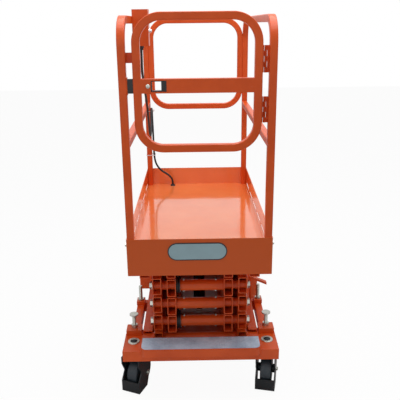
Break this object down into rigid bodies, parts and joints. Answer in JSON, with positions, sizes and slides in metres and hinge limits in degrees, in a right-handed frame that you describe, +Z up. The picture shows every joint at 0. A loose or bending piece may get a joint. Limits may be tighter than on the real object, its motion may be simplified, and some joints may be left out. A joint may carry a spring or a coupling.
{
  "type": "scissor lift",
  "caption": "Small push-around scissor lift with a railed deck, gate, hydraulic scissor stack, swivel casters and fixed rear wheels",
  "frame": {"origin": "on the floor below the middle of the deck", "axes": "+X to the right and +Y to the back for someone facing the gate, +Z up"},
  "size_m": [0.7268, 1.17, 1.676],
  "materials": {
    "orange_paint": "smooth semi-gloss powder coat",
    "black_paint": "black powder coat",
    "zinc_steel": "zinc plated",
    "chrome_rod": "hard chrome",
    "wheel_polymer": "dark solid polyurethane",
    "black_plastic": "matt",
    "cable_rubber": "black rubber sheath",
    "tread_aluminium": "mill finish tread plate"
  },
  "bodies": {
    "chassis": {"front_beam": "orange_paint", "step_pan": "orange_paint", "step_tread": "tread_aluminium", "side_rails": "orange_paint", "cross_members": "orange_paint", "front_pivots": "orange_paint", "side_bars": "orange_paint", "levelling_screws": "zinc_steel", "side_lever": "orange_paint", "pump_cover": "orange_paint", "battery_cover": "orange_paint", "wheel_carriers": "black_paint"},
    "caster_left": {"caster_fork_left": "black_paint"},
    "caster_right": {"caster_fork_right": "black_paint"},
    "front_wheel_left": {"caster_wheel_left": "wheel_polymer"},
    "front_wheel_right": {"caster_wheel_right": "wheel_polymer"},
    "back_wheel_left": {"rear_wheel_left": "wheel_polymer"},
    "back_wheel_right": {"rear_wheel_right": "wheel_polymer"},
    "outer_1": {"outer_arms_1": "orange_paint"},
    "inner_1": {"inner_arms_1": "orange_paint", "pivot_pins_1": "zinc_steel", "floor_rollers": "zinc_steel"},
    "outer_2": {"outer_arms_2": "orange_paint"},
    "inner_2": {"inner_arms_2": "orange_paint", "pivot_pins_2": "zinc_steel"},
    "outer_3": {"outer_arms_3": "orange_paint"},
    "inner_3": {"inner_arms_3": "orange_paint", "pivot_pins_3": "zinc_steel"},
    "outer_4": {"outer_arms_4": "orange_paint", "deck_rollers": "zinc_steel"},
    "inner_4": {"inner_arms_4": "orange_paint", "pivot_pins_4": "zinc_steel"},
    "barrel": {"cylinder_barrel": "black_paint"},
    "rod": {"cylinder_rod": "chrome_rod"},
    "platform": {"deck_tray": "orange_paint", "deck_frame": "orange_paint", "guard_left": "orange_paint", "guard_right": "orange_paint", "rear_guard": "orange_paint", "control_box": "orange_paint", "post_hinges": "orange_paint", "cable_glands": "black_plastic", "control_cable": "cable_rubber"},
    "gate": {"gate_frame": "orange_paint", "gate_latch": "black_plastic", "gate_hinges": "orange_paint"}
  },
  "joints": [
    {"name": "lift", "type": "hinge", "parent": "chassis", "child": "outer_1", "pos_m": [0, -0.417, 0.224], "axis": [1, 0, 0], "range_deg": [0, 41.04]},
    {"name": "centre_pivot_1", "type": "hinge", "parent": "outer_1", "child": "inner_1", "pos_m": [0, 0.04079, 0.269], "axis": [1, 0, 0], "range_deg": [-82.07, 0]},
    {"name": "front_pivot_2", "type": "hinge", "parent": "inner_1", "child": "outer_2", "pos_m": [0, -0.417, 0.314], "axis": [1, 0, 0], "range_deg": [0, 82.07]},
    {"name": "centre_pivot_2", "type": "hinge", "parent": "outer_2", "child": "inner_2", "pos_m": [0, 0.04079, 0.359], "axis": [1, 0, 0], "range_deg": [-82.07, 0]},
    {"name": "front_pivot_3", "type": "hinge", "parent": "inner_2", "child": "outer_3", "pos_m": [0, -0.417, 0.404], "axis": [1, 0, 0], "range_deg": [0, 82.07]},
    {"name": "centre_pivot_3", "type": "hinge", "parent": "outer_3", "child": "inner_3", "pos_m": [0, 0.04079, 0.449], "axis": [1, 0, 0], "range_deg": [-82.07, 0]},
    {"name": "front_pivot_4", "type": "hinge", "parent": "inner_3", "child": "outer_4", "pos_m": [0, -0.417, 0.494], "axis": [1, 0, 0], "range_deg": [0, 82.07]},
    {"name": "centre_pivot_4", "type": "hinge", "parent": "outer_4", "child": "inner_4", "pos_m": [0, 0.04079, 0.539], "axis": [1, 0, 0], "range_deg": [-82.07, 0]},
    {"name": "deck_pivot", "type": "hinge", "parent": "inner_4", "child": "platform", "pos_m": [0, -0.417, 0.584], "axis": [1, 0, 0], "range_deg": [0, 41.04]},
    {"name": "cylinder_foot", "type": "hinge", "parent": "inner_1", "child": "barrel", "pos_m": [0, -0.12333, 0.23489], "axis": [1, 0, 0], "range_deg": [0, 71.94]},
    {"name": "rod_slide", "type": "slide", "parent": "barrel", "child": "rod", "axis": [0, 0.9142, 0.4053], "range_m": [0, 0.17103]},
    {"name": "gate_hinge", "type": "hinge", "parent": "platform", "child": "gate", "pos_m": [0.25475, -0.55075, 1.3945], "axis": [0, 0, -1], "range_deg": [0, 90]},
    {"name": "caster_swivel_left", "type": "hinge", "parent": "chassis", "child": "caster_left", "pos_m": [-0.302, -0.482, 0.19], "axis": [0, 0, 1], "continuous": true},
    {"name": "caster_roll_left", "type": "hinge", "parent": "caster_left", "child": "front_wheel_left", "pos_m": [-0.28832, -0.44978, 0.075], "axis": [0.9205, -0.3907, 0], "continuous": true},
    {"name": "rear_roll_left", "type": "hinge", "parent": "chassis", "child": "back_wheel_left", "pos_m": [-0.218, 0.445, 0.075], "axis": [1, 0, 0], "continuous": true},
    {"name": "caster_swivel_right", "type": "hinge", "parent": "chassis", "child": "caster_right", "pos_m": [0.302, -0.482, 0.19], "axis": [0, 0, 1], "continuous": true},
    {"name": "caster_roll_right", "type": "hinge", "parent": "caster_right", "child": "front_wheel_right", "pos_m": [0.30987, -0.4479, 0.075], "axis": [0.9744, -0.225, 0], "continuous": true},
    {"name": "rear_roll_right", "type": "hinge", "parent": "chassis", "child": "back_wheel_right", "pos_m": [0.218, 0.445, 0.075], "axis": [1, 0, 0], "continuous": true}
  ],
  "couplings": [
    {"joint": "centre_pivot_1", "follows": "lift", "ratio": -2},
    {"joint": "front_pivot_2", "follows": "lift", "ratio": 2},
    {"joint": "centre_pivot_2", "follows": "lift", "ratio": -2},
    {"joint": "front_pivot_3", "follows": "lift", "ratio": 2},
    {"joint": "centre_pivot_3", "follows": "lift", "ratio": -2},
    {"joint": "front_pivot_4", "follows": "lift", "ratio": 2},
    {"joint": "centre_pivot_4", "follows": "lift", "ratio": -2},
    {"joint": "deck_pivot", "follows": "lift", "ratio": 1},
    {"joint": "cylinder_foot", "follows": "lift", "ratio": 1.7531},
    {"joint": "rod_slide", "follows": "lift", "m_per_rad": 0.23852}
  ]
}
